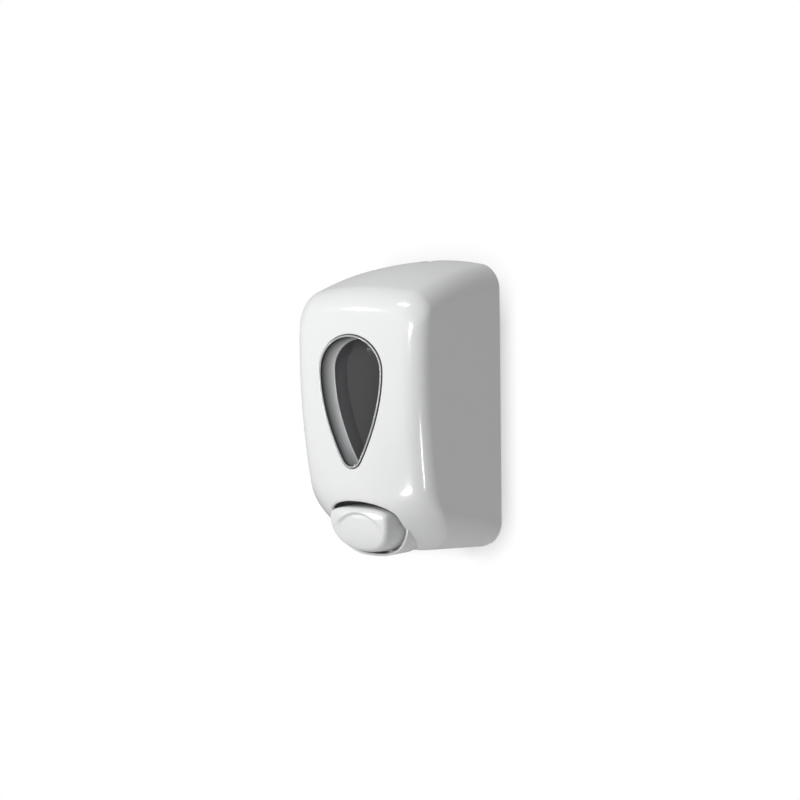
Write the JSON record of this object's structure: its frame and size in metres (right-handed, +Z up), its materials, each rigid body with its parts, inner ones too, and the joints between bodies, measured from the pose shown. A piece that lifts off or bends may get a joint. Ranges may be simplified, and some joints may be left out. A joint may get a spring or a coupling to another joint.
{
  "type": "wall mounted soap dispenser",
  "caption": "Push-button soap dispenser for a wall: hinged white cover with a drop-shaped window over a refillable tank and piston pump.",
  "frame": {"origin": "centre of the flat rear face of the wall plate, at mid height of the cover", "axes": "+Y into the wall, -Y into the room, +Z up"},
  "size_m": [0.1264, 0.105, 0.2203],
  "materials": {
    "cover_white": "glossy moulded ABS",
    "button_white": "glossy moulded ABS, slightly softer than the cover",
    "plate_white": "fine satin moulding",
    "window_clear": "polished clear smoke",
    "tank_smoke": "polished dark smoke",
    "pump_natural": "natural acetal",
    "rubber": "matt black rubber",
    "steel": "bright stainless steel"
  },
  "bodies": {
    "root": {"wall_plate": "plate_white", "lock_keeper": "steel", "hinge_pin_left": "steel", "hinge_pin_right": "steel", "tank": "tank_smoke", "tank_gasket": "rubber", "union_nut": "pump_natural", "pump_body": "pump_natural", "pump_gland": "pump_natural", "gland_seal": "rubber", "inlet_valve": "rubber", "channel_plug": "pump_natural", "outlet_nozzle": "pump_natural", "outlet_valve": "rubber", "return_spring": "steel"},
    "cover": {"front_cover": "cover_white", "window_lens": "window_clear", "button_guide_left": "pump_natural", "button_guide_right": "pump_natural", "guide_screw_left": "steel", "guide_screw_right": "steel", "lock_housing": "cover_white", "lock_nut": "pump_natural"},
    "button": {"push_button": "button_white"},
    "plunger": {"plunger_cap": "pump_natural", "piston_rod": "steel", "piston": "pump_natural", "piston_seal": "rubber"},
    "tank_lid": {"tank_lid": "tank_smoke"},
    "lock": {"lock_barrel": "cover_white", "lock_cam": "steel", "cam_screw": "steel"}
  },
  "joints": [
    {"name": "cover_hinge", "type": "hinge", "parent": "root", "child": "cover", "pos_m": [0, -0.01, -0.1015], "axis": [1, 0, 0], "range_deg": [0, 85]},
    {"name": "button_press", "type": "slide", "parent": "cover", "child": "button", "axis": [0, 1, 0], "range_m": [0, 0.012], "stiffness_N_per_m": 800, "springref_m": -0.006},
    {"name": "plunger_slide", "type": "slide", "parent": "root", "child": "plunger", "axis": [0, 1, 0], "range_m": [0, 0.012], "deforming": ["return_spring"]},
    {"name": "lid_lift", "type": "slide", "parent": "root", "child": "tank_lid", "axis": [0, 0, 1], "range_m": [0, 0.012]},
    {"name": "lock_turn", "type": "hinge", "parent": "cover", "child": "lock", "pos_m": [0, -0.016, 0.09], "axis": [0, 0, -1], "range_deg": [0, 90]}
  ],
  "couplings": [
    {"joint": "plunger_slide", "follows": "button_press", "ratio": 1}
  ]
}
